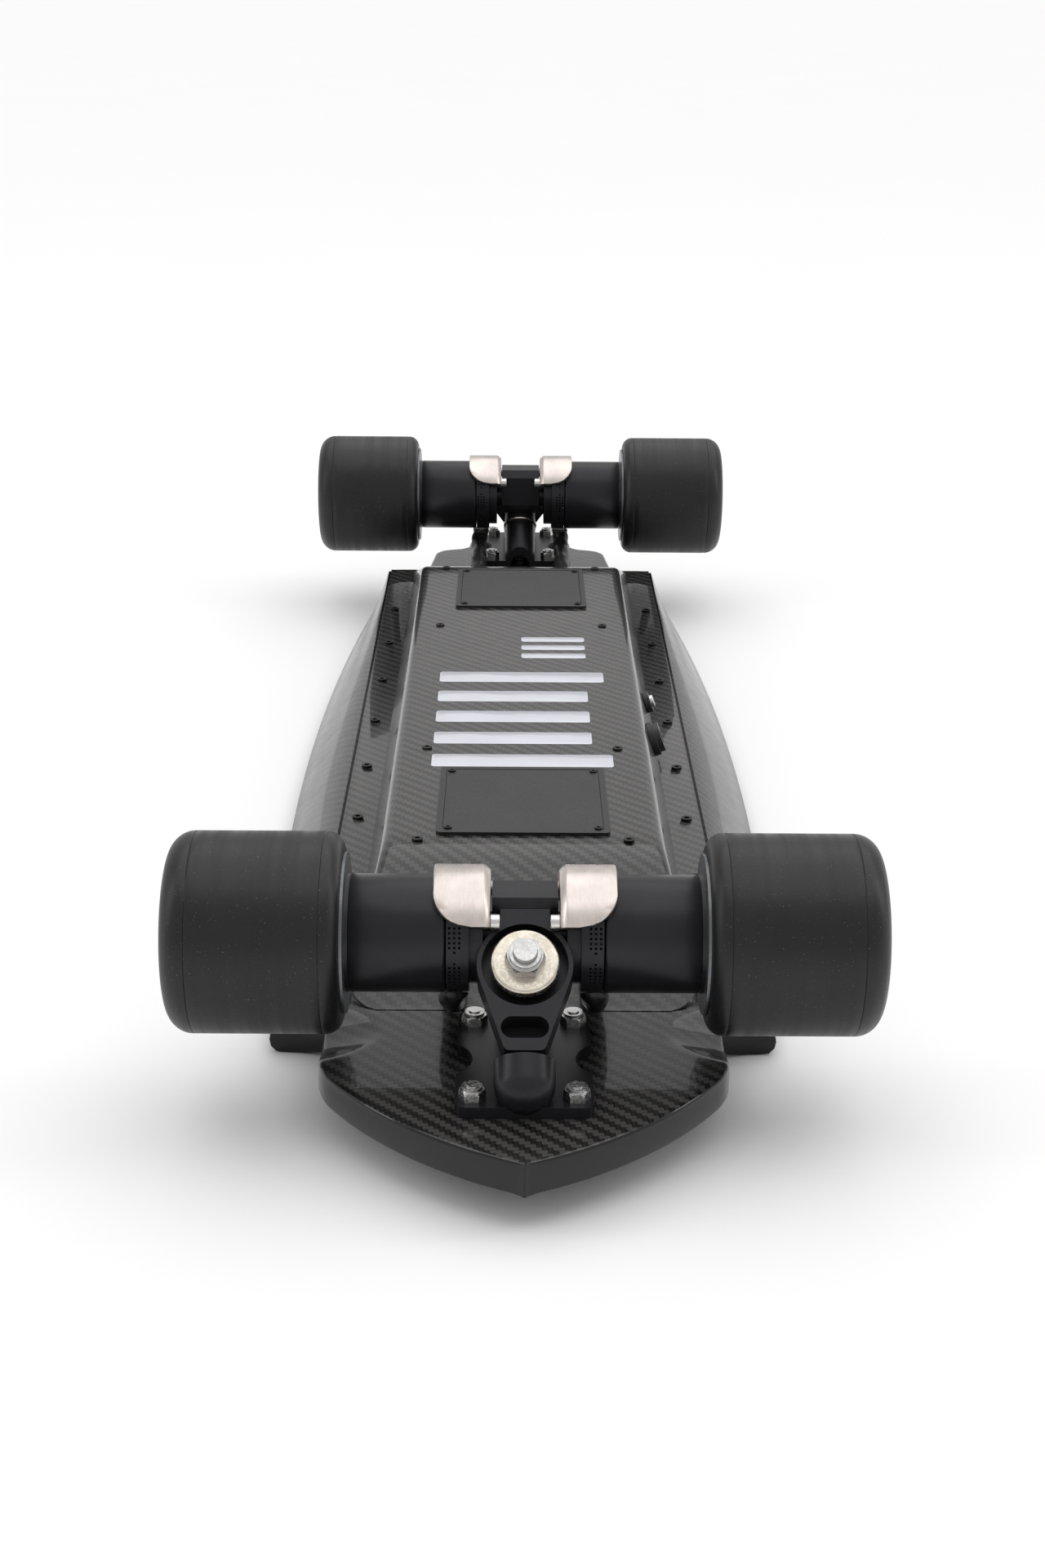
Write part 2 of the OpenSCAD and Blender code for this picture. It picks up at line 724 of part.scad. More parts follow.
module rear_hanger() { color("#2b2b2f") at_rear() hanger(); }
module rear_axle() { color("silver") at_rear() axle_rod(); }
module rear_stators() { color("#b5652d") at_rear() stator(); }
module rear_vent_rings() { color("#1d1d1f") at_rear() vent_ring(); }
module rear_guards() { color("#c9c2bc") at_rear() guard(); }
module rear_guard_screws() { color("silver") at_rear() guard_screws(); }
module rear_axle_nuts() { color("silver") at_rear() axle_nuts(); }
module pivot_cups() { color("#3b3b3d") at_both() pivot_cup(); }
module kingpins() { color("silver") at_both() kingpin(); }
module kingpin_nuts() { color("silver") at_both() kingpin_nut(); }
module cup_washers() { color("#d8d2b8") at_both() cup_washer(); }
module mount_bolts() { color("silver") at_both() mount_bolt(); }
module mount_nuts() { color("silver") at_both() mount_nut(); }
module front_left_tyre() { color("#202022") wheel_at(true, true) tyre(); }
module front_left_hub() { color("#8d8f92") wheel_at(true, true) hub(); }
module front_left_can() { color("#18181a") wheel_at(true, true) can(); }
module front_left_bearings() { color("silver") wheel_at(true, true) bearings(); }
module front_right_tyre() { color("#202022") wheel_at(true, false) tyre(); }
module front_right_hub() { color("#8d8f92") wheel_at(true, false) hub(); }
module front_right_can() { color("#18181a") wheel_at(true, false) can(); }
module front_right_bearings() { color("silver") wheel_at(true, false) bearings(); }
module rear_left_tyre() { color("#202022") wheel_at(false, true) tyre(); }
module rear_left_hub() { color("#8d8f92") wheel_at(false, true) hub(); }
module rear_left_can() { color("#18181a") wheel_at(false, true) can(); }
module rear_left_bearings() { color("silver") wheel_at(false, true) bearings(); }
module rear_right_tyre() { color("#202022") wheel_at(false, false) tyre(); }
module rear_right_hub() { color("#8d8f92") wheel_at(false, false) hub(); }
module rear_right_can() { color("#18181a") wheel_at(false, false) can(); }
module rear_right_bearings() { color("silver") wheel_at(false, false) bearings(); }

deck();
grip_tape();
battery_pack();
motor_controller();
electronics_cover();
cover_flange_screws();
cover_top_screws();
front_hatch_frame();
front_hatch_plate();
rear_hatch_frame();
rear_hatch_plate();
hatch_screws();
power_button();
power_button_bezel();
charge_port();
front_baseplate();
rear_baseplate();
pivot_cups();
kingpins();
kingpin_nuts();
cup_washers();
front_board_bushing();
front_road_bushing();
rear_board_bushing();
rear_road_bushing();
mount_bolts();
mount_nuts();
front_phase_cables();
rear_phase_cables();
front_hanger();
front_axle();
front_stators();
front_vent_rings();
front_guards();
front_guard_screws();
front_axle_nuts();
rear_hanger();
rear_axle();
rear_stators();
rear_vent_rings();
rear_guards();
rear_guard_screws();
rear_axle_nuts();
front_left_tyre();
front_left_hub();
front_left_can();
front_left_bearings();
front_right_tyre();
front_right_hub();
front_right_can();
front_right_bearings();
rear_left_tyre();
rear_left_hub();
rear_left_can();
rear_left_bearings();
rear_right_tyre();
rear_right_hub();
rear_right_can();
rear_right_bearings();
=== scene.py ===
"""Looks of a motorised carbon skateboard that lies upside down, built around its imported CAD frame.

Sizes are in millimetres in the shape functions and become metres in build().
"""
import json
import math
import random

import bmesh
import bpy
from mathutils import Matrix, Vector


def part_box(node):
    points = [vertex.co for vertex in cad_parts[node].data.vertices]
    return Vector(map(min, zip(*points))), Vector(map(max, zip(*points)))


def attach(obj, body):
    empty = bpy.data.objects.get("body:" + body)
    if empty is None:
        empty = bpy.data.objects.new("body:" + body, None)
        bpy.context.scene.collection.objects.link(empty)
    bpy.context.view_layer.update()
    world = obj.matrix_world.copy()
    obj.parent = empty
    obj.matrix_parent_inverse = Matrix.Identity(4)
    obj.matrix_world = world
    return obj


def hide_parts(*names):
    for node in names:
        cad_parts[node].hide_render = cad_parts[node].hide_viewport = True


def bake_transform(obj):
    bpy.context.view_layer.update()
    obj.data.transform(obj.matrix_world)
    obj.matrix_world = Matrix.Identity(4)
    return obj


MM = 0.001
ENDS = ("front", "rear")
SIDES = ("left", "right")

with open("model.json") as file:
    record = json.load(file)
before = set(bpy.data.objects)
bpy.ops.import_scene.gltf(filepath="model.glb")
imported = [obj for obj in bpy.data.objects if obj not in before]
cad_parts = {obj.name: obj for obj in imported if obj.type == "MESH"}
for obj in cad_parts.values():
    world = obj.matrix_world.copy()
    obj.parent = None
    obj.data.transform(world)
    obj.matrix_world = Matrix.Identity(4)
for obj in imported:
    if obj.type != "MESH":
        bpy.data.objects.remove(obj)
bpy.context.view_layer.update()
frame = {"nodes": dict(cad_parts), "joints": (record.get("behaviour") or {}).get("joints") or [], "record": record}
joints = {joint["name"]: joint for joint in frame["joints"]}
nodes = frame["nodes"]
slot_of = {part["node"]: part["material_slot"] for part in frame["record"]["subparts"]}
body_of = {n: b for b, names in frame["record"]["behaviour"]["bodies"].items() for n in names}


def in_mm(value):
    return value / MM


AXLE_Y = {end: in_mm(joints[f"{end}_left_spin"]["pos_m"][1]) for end in ENDS}
AXLE_Z = in_mm(joints["front_left_spin"]["pos_m"][2])
CENTRE = {end: [in_mm(v) for v in joints[f"{end}_steer"]["pos_m"]] for end in ENDS}
MID_Y = (AXLE_Y["front"] + AXLE_Y["rear"]) / 2
PAD_Z = in_mm(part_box("front_baseplate")[0].z)
SEAT_Z = in_mm(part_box("cover_flange_screws")[0].z)
COVER_Z = in_mm(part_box("electronics_cover")[1].z)
DECK_BOX = [[in_mm(v) for v in corner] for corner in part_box("deck")]
RIDING_Z = in_mm(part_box("grip_tape")[1].z)
WHEEL_R = in_mm(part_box("front_left_tyre")[1].z) - AXLE_Z
WHEEL_IN = in_mm(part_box("front_right_tyre")[0].x)
WHEEL_OUT = in_mm(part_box("front_right_tyre")[1].x)
CAN_IN = in_mm(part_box("front_right_can")[0].x)
CAN_OUT = in_mm(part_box("front_right_can")[1].x)
CAN_R = in_mm(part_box("front_right_can")[1].z) - AXLE_Z
GUARD_R = in_mm(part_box("front_guards")[1].z) - AXLE_Z
STEER_AXIS = joints["front_steer"]["axis"]
KINGPIN_TILT = math.degrees(math.atan2(-STEER_AXIS[1], -STEER_AXIS[2]))


# ---- mesh helpers ------------------------------------------------------

def finish_mesh(bm, sharp_degrees):
    bmesh.ops.recalc_face_normals(bm, faces=bm.faces)
    for face in bm.faces:
        face.smooth = True
    for edge in bm.edges:
        if len(edge.link_faces) == 2:
            edge.smooth = edge.calc_face_angle(0) < math.radians(sharp_degrees)


def build(name, verts, faces, body, slot, material, hides=(), place=None, sharp_degrees=32):
    """A piece from points in millimetres, riding on a body and standing for the CAD nodes in hides."""
    bm = bmesh.new()
    made = [bm.verts.new(Vector(v) * MM) for v in verts]
    for face in faces:
        bm.faces.new([made[i] for i in face])
    bmesh.ops.remove_doubles(bm, verts=bm.verts, dist=1e-7)
    if place is not None:
        bm.transform(place)
    finish_mesh(bm, sharp_degrees)
    mesh = bpy.data.meshes.new(name)
    bm.to_mesh(mesh)
    bm.free()
    piece = bpy.data.objects.new(name, mesh)
    bpy.context.collection.objects.link(piece)
    mesh.materials.append(material)
    if body:
        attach(piece, body)
    if hides:
        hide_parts(*hides)
    return piece


def loft(loops, closed=False):
    """Points and faces that join closed loops of equal length, capped at both ends unless closed."""
    count = len(loops[0])
    verts = [point for loop in loops for point in loop]
    faces = []
    rows = len(loops) if closed else len(loops) - 1
    for row in range(rows):
        here = row * count
        there = (row + 1) % len(loops) * count
        for i in range(count):
            j = (i + 1) % count
            faces.append((here + i, here + j, there + j, there + i))
    if not closed:
        faces.append(tuple(range(count)))
        faces.append(tuple(range(len(verts) - count, len(verts))))
    return verts, faces


def revolve(profile, steps=128):
    """Turn closed (x, radius) points about the X axis."""
    loops = []
    for i in range(steps):
        a = math.tau * i / steps
        loops.append([(x, r * math.cos(a), r * math.sin(a)) for x, r in profile])
    return loft(loops, closed=True)


def arc(cx, cy, r, start, end, steps):
    angles = [math.radians(start + (end - start) * i / steps) for i in range(steps + 1)]
    return [(cx + r * math.cos(a), cy + r * math.sin(a)) for a in angles]


def both_halves(right):
    """A closed loop from right-half (x, z) points that start and end on x = 0."""
    return right + [(-x, z) for x, z in reversed(right[1:-1])]


def spread(a, b, count):
    return [a + (b - a) * i / (count - 1) for i in range(count)]


def ease(t):
    return t * t * (3 - 2 * t)


def join(parts):
    """Several (verts, faces) pairs as one."""
    verts = []
    faces = []
    for more_verts, more_faces in parts:
        base = len(verts)
        verts += more_verts
        faces += [tuple(base + i for i in face) for face in more_faces]
    return verts, faces


def rounded_plate(width, length, radius, z0, z1, bevel):
    """A flat plate with round corners and a bevelled top edge, centred on the origin."""
    loops = []
    for inset, z in ((0, z0), (0, z1 - bevel), (bevel * 0.3, z1 - bevel * 0.3), (bevel, z1)):
        r = radius - inset
        cx = width / 2 - radius
        cy = length / 2 - radius
        loop = []
        for sx, sy, start in ((1, 1, 0), (-1, 1, 90), (-1, -1, 180), (1, -1, 270)):
            loop += [(x, y, z) for x, y in arc(sx * cx, sy * cy, r, start, start + 90, 6)]
        loops.append(loop)
    return loft(loops)


def moved(shape, x=0, y=0, z=0):
    verts, faces = shape
    return [(v[0] + x, v[1] + y, v[2] + z) for v in verts], faces


def truck_place(end):
    """Local truck frame to the board: y = 0 is the axle and -y points outboard."""
    turn = Matrix.Rotation(0 if end == "front" else math.pi, 4, "Z")
    return Matrix.Translation((0, AXLE_Y[end] * MM, 0)) @ turn


def axle_place(end, side):
    """Frame on the axle whose +X points outwards on the given side."""
    mirror = Matrix.Rotation(0 if side == "right" else math.pi, 4, "Z")
    return Matrix.Translation((0, AXLE_Y[end] * MM, AXLE_Z * MM)) @ mirror


def kingpin_place(end):
    """Frame at the steering centre whose +Z runs along the kingpin to its nut."""
    dy = -abs(CENTRE[end][1] - AXLE_Y[end])
    local = Matrix.Translation((0, dy * MM, CENTRE[end][2] * MM))
    return truck_place(end) @ local @ Matrix.Rotation(math.radians(90 - KINGPIN_TILT), 4, "X")


def softened(node, width, material):
    """A copy of a CAD node whose edges over 38 degrees are rounded, standing for that node."""
    bm = bmesh.new()
    bm.from_mesh(nodes[node].data)
    bmesh.ops.remove_doubles(bm, verts=bm.verts, dist=2e-6)
    bmesh.ops.dissolve_limit(bm, angle_limit=math.radians(1), verts=bm.verts, edges=bm.edges)
    finish_mesh(bm, 30)
    mesh = bpy.data.meshes.new(node + "_body")
    bm.to_mesh(mesh)
    bm.free()
    piece = bpy.data.objects.new(node + "_body", mesh)
    bpy.context.collection.objects.link(piece)
    mesh.materials.append(material)
    bevel = piece.modifiers.new("soft_edges", "BEVEL")
    bevel.width = width * MM
    bevel.segments = 2
    bevel.limit_method = "ANGLE"
    bevel.angle_limit = math.radians(38)
    bevel.harden_normals = True
    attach(piece, body_of[node])
    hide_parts(node)
    return piece


# ---- materials ---------------------------------------------------------

class Nodes:
    """A material's node tree with short calls for the nodes used here."""

    def __init__(self, name):
        self.material = bpy.data.materials.new(name)
        self.material.use_nodes = True
        self.tree = self.material.node_tree
        self.shader = self.tree.nodes["Principled BSDF"]
        self.place = self.add("ShaderNodeTexCoord").outputs["Object"]

    def add(self, kind, **values):
        node = self.tree.nodes.new(kind)
        for key, value in values.items():
            setattr(node, key, value)
        return node

    def link(self, source, target):
        self.tree.links.new(source, target)

    def math(self, operation, a, b=None):
        node = self.add("ShaderNodeMath", operation=operation)
        for socket, value in zip(node.inputs, (a, b)):
            if isinstance(value, (int, float)):
                socket.default_value = value
            elif value is not None:
                self.link(value, socket)
        return node.outputs[0]

    def noise(self, scale, detail=3.0, stretch=(1, 1, 1)):
        mapping = self.add("ShaderNodeMapping")
        mapping.inputs["Scale"].default_value = stretch
        self.link(self.place, mapping.inputs["Vector"])
        node = self.add("ShaderNodeTexNoise")
        node.inputs["Scale"].default_value = scale
        node.inputs["Detail"].default_value = detail
        self.link(mapping.outputs[0], node.inputs["Vector"])
        return node.outputs["Fac"]

    def ramp(self, value, low, high, start=0.35, end=0.65):
        """Map a 0 to 1 value to a colour or grey between low and high."""
        node = self.add("ShaderNodeValToRGB")
        node.color_ramp.elements[0].position = start
        node.color_ramp.elements[1].position = end
        node.color_ramp.elements[0].color = (*low, 1)
        node.color_ramp.elements[1].color = (*high, 1)
        self.link(value, node.inputs[0])
        return node.outputs[0]

    def grey(self, value, low, high, start=0.35, end=0.65):
        return self.ramp(value, (low,) * 3, (high,) * 3, start, end)

    def set(self, **values):
        for key, value in values.items():
            socket = self.shader.inputs[key.replace("_", " ")]
            if isinstance(value, bpy.types.NodeSocket):
                self.link(value, socket)
            elif isinstance(value, tuple):
                socket.default_value = (*value, 1)
            else:
                socket.default_value = value

    def bump(self, height, distance, strength=1.0):
        node = self.add("ShaderNodeBump")
        node.inputs["Distance"].default_value = distance * MM
        node.inputs["Strength"].default_value = strength
        self.link(height, node.inputs["Height"])
        self.link(node.outputs[0], self.shader.inputs["Normal"])


def scaled(colour, factor):
    return tuple(min(1.0, c * factor) for c in colour)


def plain_finish(name, colour, rough, metallic=0.0, vary=0.12, grain=900, bump=0.01, coat=0.0):
    """A finish with fine grain, slow colour change and uneven gloss."""
    m = Nodes(name)
    slow = m.noise(38, 4)
    fine = m.noise(grain, 2)
    m.set(Base_Color=m.ramp(slow, scaled(colour, 1 - vary), scaled(colour, 1 + vary)))
    m.set(Roughness=m.grey(fine, rough * 0.85, min(1.0, rough * 1.15)), Metallic=metallic)
    if coat:
        m.set(Coat_Weight=coat, Coat_Roughness=0.06)
    m.bump(fine, bump)
    return m.material


def weave_mask(m, tow):
    """1 where the across tow of a two by two twill lies on top, and 0 where the along tow does."""
    axes = m.add("ShaderNodeSeparateXYZ")
    m.link(m.place, axes.inputs[0])
    across = m.math("DIVIDE", axes.outputs[0], tow * MM)
    along = m.math("DIVIDE", axes.outputs[1], tow * MM)
    cell = m.math("ADD", m.math("FLOOR", across), m.math("FLOOR", along))
    step = m.math("FRACT", m.math("DIVIDE", cell, 4.0))
    return m.math("LESS_THAN", step, 0.5), across, along


def carbon(name, tow, dark, light, rough, coat_rough):
    """Clear-coated twill under a gloss coat. The two tow directions get a lighter and a darker base colour, a
    painted sheen for the way they catch the light. This painted sheen is brightest on faces that point up or down
    and fades to the dark colour on steep faces, a painted shade.
    """
    m = Nodes(name)
    over, across, along = weave_mask(m, tow)
    normal = m.add("ShaderNodeSeparateXYZ")
    m.link(m.add("ShaderNodeNewGeometry").outputs["Normal"], normal.inputs[0])
    # How nearly the face points up or down; it scales the painted sheen below and the weave's bump
    flat = m.math("POWER", m.math("ABSOLUTE", normal.outputs[2]), 4.0)
    warp = m.math("ABSOLUTE", m.math("SINE", m.math("MULTIPLY", across, math.pi)))
    weft = m.math("ABSOLUTE", m.math("SINE", m.math("MULTIPLY", along, math.pi)))
    mix = m.add("ShaderNodeMix", data_type="FLOAT")
    m.link(over, mix.inputs[0])
    m.link(warp, mix.inputs[2])
    m.link(weft, mix.inputs[3])
    round_tow = mix.outputs[0]
    # Painted sheen: base colour lighter where the across tow lies on top and along the crown of each tow
    painted_sheen = m.math("ADD", m.math("MULTIPLY", over, 0.75), m.math("MULTIPLY", round_tow, 0.25))
    # Painted shade: the painted sheen falls to the dark colour on steep faces
    painted_sheen_tone = m.math("MULTIPLY", painted_sheen, flat)
    m.set(Base_Color=m.ramp(painted_sheen_tone, dark, light, 0.0, 1.0))
    scuffs = m.noise(90, 6, (1, 1, 0.4))
    m.set(Roughness=m.grey(scuffs, rough * 0.9, rough * 1.1))
    m.set(Coat_Weight=0.6, Coat_Roughness=coat_rough, Coat_IOR=1.45, Specular_IOR_Level=0.2)
    m.bump(m.math("MULTIPLY", round_tow, flat), 0.05, 0.5)
    return m.material


def rubber(name, colour):
    """Moulded rubber with a soft sheen, faint turning marks and dust specks."""
    m = Nodes(name)
    slow = m.noise(45, 4)
    specks = m.noise(1500, 1)
    rings = m.noise(260, 3, (1, 0.02, 0.02))
    clean = m.ramp(slow, scaled(colour, 0.85), scaled(colour, 1.2))
    mix = m.add("ShaderNodeMix", data_type="RGBA")
    m.link(m.grey(specks, 0, 0.5, 0.72, 0.76), mix.inputs[0])
    m.link(clean, mix.inputs[6])
    mix.inputs[7].default_value = (0.16, 0.16, 0.17, 1)
    m.set(Base_Color=mix.outputs[2], Roughness=m.grey(rings, 0.34, 0.46), Specular_IOR_Level=0.4)
    m.bump(rings, 0.02)
    return m.material


def brushed(name, colour, rough, stretch):
    m = Nodes(name)
    lines = m.noise(700, 4, stretch)
    slow = m.noise(60, 3)
    m.set(Base_Color=m.ramp(slow, scaled(colour, 0.86), scaled(colour, 1.06)), Metallic=1.0)
    m.set(Roughness=m.grey(lines, rough * 0.8, rough * 1.3))
    m.bump(lines, 0.02)
    return m.material


def stained_zinc(name, colour):
    m = Nodes(name)
    stain = m.noise(170, 5)
    m.set(Base_Color=m.ramp(stain, scaled(colour, 0.8), scaled(colour, 1.05), 0.3, 0.6), Metallic=1.0)
    m.set(Roughness=m.grey(m.noise(900, 3), 0.22, 0.42))
    m.bump(m.noise(1400, 2), 0.02)
    return m.material


FINISHES = {
    "carbon": carbon("deck_carbon", 2.2, (0.002, 0.002, 0.0025), (0.055, 0.053, 0.051), 0.3, 0.03),
    "grip": plain_finish("grip_grit", (0.03, 0.03, 0.03), 0.95, grain=2600, bump=0.25),
    "cell_wrap": plain_finish("cell_wrap", (0.06, 0.16, 0.36), 0.4),
    "heat_sink": plain_finish("heat_sink", (0.5, 0.51, 0.53), 0.35, 0.9),
    "black_screw": plain_finish("black_screw", (0.012, 0.012, 0.012), 0.35, 0.6),
    "hatch_black": plain_finish("hatch_frame_black", (0.012, 0.012, 0.013), 0.42, grain=1800),
    "hatch_grey": plain_finish("hatch_plate_grey", (0.022, 0.022, 0.023), 0.5, grain=1600, bump=0.02),
    "zinc": stained_zinc("bright_zinc", (0.60, 0.60, 0.59)),
    "washer_zinc": stained_zinc("yellow_zinc", (0.66, 0.61, 0.52)),
    "socket_black": plain_finish("socket_black", (0.02, 0.02, 0.021), 0.38),
    "button_steel": brushed("button_steel", (0.72, 0.70, 0.68), 0.3, (1, 1, 1)),
    "anodised": plain_finish("black_anodised", (0.018, 0.018, 0.021), 0.34, 0.55, grain=1500, bump=0.008),
    "urethane": plain_finish("bushing_urethane", (0.02, 0.02, 0.021), 0.45),
    "cable": plain_finish("cable_sleeve", (0.008, 0.008, 0.008), 0.4, grain=420, bump=0.25),
    "steel": brushed("bright_steel", (0.70, 0.70, 0.69), 0.25, (1, 1, 1)),
    "copper": plain_finish("copper_winding", (0.48, 0.16, 0.06), 0.35, 0.9),
    "guard": brushed("brushed_guard", (0.68, 0.62, 0.58), 0.33, (6, 0.3, 0.3)),
    "tyre": rubber("tyre_rubber", (0.006, 0.006, 0.007)),
    "hub": plain_finish("hub_grey", (0.16, 0.17, 0.18), 0.32, 0.8),
}


def dress_cad_nodes():
    """Give every CAD node its slot's finish, so none keeps a flat colour."""
    for name, node in nodes.items():
        node.data.materials.clear()
        node.data.materials.append(FINISHES[slot_of[name]])


# ---- deck --------------------------------------------------------------

BODY_END = 328
FRONT_END = MID_Y - BODY_END
REAR_END = MID_Y + BODY_END
SIDE_R = 3105
WIDEST_Y = MID_Y - 40
SEAT_X = 92
RAIL_Z = 13
FLAT_X = 62
HOLLOW_MARGIN = 9
SLOPE_MARGIN = 6
SLOPE_POWER = 1.35
NECK_X = 85
SHOULDER = 12
NOSE_R = 171
NOSE_ARC_SHIFT = 64.3
NOSE_BLEND_R = 35
PAD_ROUND = 2.2
EDGE_BAND = 26
SCOOP_TIP = 59
SCOOP_R = 60
SCOOP_Y = 8
SCOOP_SLOPE = math.tan(math.radians(12))
TAIL_ROUND = 26
TAIL_FLAT = 12
# Half widths of the tail's side, as (distance outboard of the rear axle, half width)
TAIL_SIDE = ((-52, NECK_X), (-37, 76), (-25, 67), (22, 62.8), (29, 58), (33, 45), (40, 38.5))
# The rail's outer edge from the floor up, as (inset from the side, height)
RAIL_EDGE = ((3, 0.6), (0.6, 3.2), (0, RAIL_Z / 2), (1, RAIL_Z - 2), (4, RAIL_Z + 0.8))
# The step from the slope up to the seat, as (distance outside the seat, drop below it)
SEAT_STEP = ((0.8, 2), (0.5, 1), (0.2, 0))


def body_half(y):
    """Right half of the deck body at y: 11 points below, 5 round the rail and 25 on top."""
    half = DECK_BOX[1][0] - SIDE_R + math.sqrt(SIDE_R ** 2 - (y - WIDEST_Y) ** 2)
    under = [(x, RIDING_Z) for x in spread(0, FLAT_X, 3)]
    for i in range(1, 9):
        x = FLAT_X + (half - HOLLOW_MARGIN - FLAT_X) * i / 8
        under.append((x, RIDING_Z * (1 + math.cos(math.pi * i / 8)) / 2))
    rail = [(half - inset, z) for inset, z in RAIL_EDGE]
    top = []
    for i in range(1, 11):
        u = 1 - i / 10
        x = SEAT_X + 2 + (half - SLOPE_MARGIN - SEAT_X) * u
        top.append((x, SEAT_Z - 1.2 - (SEAT_Z - RAIL_Z - 2.4) * u ** SLOPE_POWER))
    top += [(SEAT_X + outside, SEAT_Z - drop) for outside, drop in SEAT_STEP]
    top += [(x, SEAT_Z) for x in spread(SEAT_X - 4, 0, 12)]
    return under + rail + top


def scoop_depth(x, y):
    """How far the wheel clearance cuts below the nose surface."""
    away = y - AXLE_Y["front"] - SCOOP_Y
    if x < SCOOP_TIP or abs(away) > SCOOP_R:
        return 0
    deepest = (x - SCOOP_TIP) * SCOOP_SLOPE
    return max(0, deepest - (SCOOP_R - math.sqrt(SCOOP_R ** 2 - away ** 2)))


def pad_half(half, y):
    """Right half of the flat nose or tail, with the same count of points as the body."""
    round_r = min(PAD_ROUND, half * 0.4)
    under = [(x, RIDING_Z) for x in spread(0, half - round_r, 11)]
    edge = [(half - 0.3 * round_r, RIDING_Z + 0.3 * round_r),
            (half, RIDING_Z + round_r),
            (half, PAD_Z - round_r),
            (half - 0.12 * round_r, PAD_Z - 0.5 * round_r),
            (half - 0.5 * round_r, PAD_Z - 0.12 * round_r)]
    outer = min(EDGE_BAND, half * 0.5)
    top_x = spread(half - round_r, half - outer, 15) + spread(half - outer, 0, 11)[1:]
    upper = edge + [(x, PAD_Z) for x in top_x]
    return under + [(x, z - scoop_depth(x, y) * (z > RIDING_Z + round_r)) for x, z in upper]


def shoulder_half(t, y, neck):
    """Between the neck and the body, with a hollow curve in plan."""
    pad = pad_half(neck, y)
    body = body_half(y)
    out = 1 - math.sqrt(max(0, 1 - t * t))
    up = ease(t)
    return [(px + (bx - px) * out, pz + (bz - pz) * up) for (px, pz), (bx, bz) in zip(pad, body)]


def nose_arcs():
    """Inboard places of the long arc's centre, the join and the blend's centre, from the front axle."""
    reach = AXLE_Y["front"] - DECK_BOX[0][1]
    centre = math.sqrt(NOSE_R ** 2 - NOSE_ARC_SHIFT ** 2) - reach
    between = NOSE_R - NOSE_BLEND_R
    rise = math.sqrt(between ** 2 - (NECK_X - NOSE_BLEND_R + NOSE_ARC_SHIFT) ** 2)
    return centre, centre - NOSE_R * rise / between, centre - rise


def nose_half_width(inboard):
    """Half width of the nose: a long arc from the tip, blended into the straight neck."""
    centre, joined, blend = nose_arcs()
    if inboard < joined:
        return math.sqrt(max(0, NOSE_R ** 2 - (inboard - centre) ** 2)) - NOSE_ARC_SHIFT
    if inboard < blend:
        return NECK_X - NOSE_BLEND_R + math.sqrt(NOSE_BLEND_R ** 2 - (inboard - blend) ** 2)
    return NECK_X


def tail_half_width(outboard):
    """Half width of the tail: tapered shoulders, a round step, then a tongue with a round end."""
    round_start = DECK_BOX[1][1] - AXLE_Y["rear"] - TAIL_ROUND
    if outboard >= round_start:
        along = min(TAIL_ROUND, outboard - round_start)
        return TAIL_FLAT + math.sqrt(max(0.01, TAIL_ROUND ** 2 - along ** 2))
    points = [*TAIL_SIDE, (round_start, TAIL_FLAT + TAIL_ROUND)]
    for (y0, w0), (y1, w1) in zip(points, points[1:]):
        if y0 <= outboard <= y1:
            return w0 + (w1 - w0) * (outboard - y0) / (y1 - y0)
    return NECK_X


def nose_sections():
    """(y, right half) cross-sections from the tip to the inner end of the neck, closer near the tip."""
    tip = DECK_BOX[0][1]
    neck_start = AXLE_Y["front"] + nose_arcs()[2]
    sections = []
    for t in spread(0, 1, 48):
        y = tip + (neck_start - tip) * t ** 1.3
        half = max(0.6, nose_half_width(y - AXLE_Y["front"]))
        sections.append((y, pad_half(half, y)))
    for y in spread(neck_start, FRONT_END - SHOULDER, 18)[1:]:
        sections.append((y, pad_half(NECK_X, y)))
    return sections


def body_sections():
    """Cross-sections of the body with its two shoulders, whose ends curve in plan."""
    sections = []
    for t in spread(0, 1, 13)[1:]:
        along = math.sin(t * math.pi / 2)
        y = FRONT_END - SHOULDER + SHOULDER * along
        sections.append((y, shoulder_half(along, y, NECK_X)))
    for y in spread(FRONT_END, REAR_END, 40)[1:]:
        sections.append((y, body_half(y)))
    for t in spread(1, 0, 13)[1:]:
        along = math.sin(t * math.pi / 2)
        y = REAR_END + SHOULDER - SHOULDER * along
        sections.append((y, shoulder_half(along, y, tail_half_width(y - AXLE_Y["rear"]))))
    return sections


def tail_sections():
    stations = spread(REAR_END + SHOULDER, DECK_BOX[1][1] - 0.2, 48)[1:]
    return [(y, pad_half(tail_half_width(y - AXLE_Y["rear"]), y)) for y in stations]


def deck_piece():
    sections = nose_sections() + body_sections() + tail_sections()
    verts, faces = loft([[(x, y, z) for x, z in both_halves(half)] for y, half in sections])
    build("deck_shell", verts, faces, "board", "carbon", FINISHES["carbon"], hides=["deck"])


# ---- cover -------------------------------------------------------------

COVER_FOOT_X = 78
COVER_FOOT_Y = 347
COVER_FLAT_Y = 243
COVER_EDGE_R = 7
COVER_CORNER = 20
COVER_BEND = 14
WALL_TILT = math.radians(20.2)
FLANGE_T = 1.7
FLANGE_Y = 291


def cover_height(away):
    """Height of the cover's top at a distance from the middle, with a soft bend into the ramp."""
    ramp = (COVER_Z - PAD_Z) / (COVER_FOOT_Y - COVER_FLAT_Y)
    past = away - COVER_FLAT_Y
    if past < -COVER_BEND:
        return COVER_Z
    if past < COVER_BEND:
        return COVER_Z - ramp * (past + COVER_BEND) ** 2 / (4 * COVER_BEND)
    return COVER_Z - ramp * past


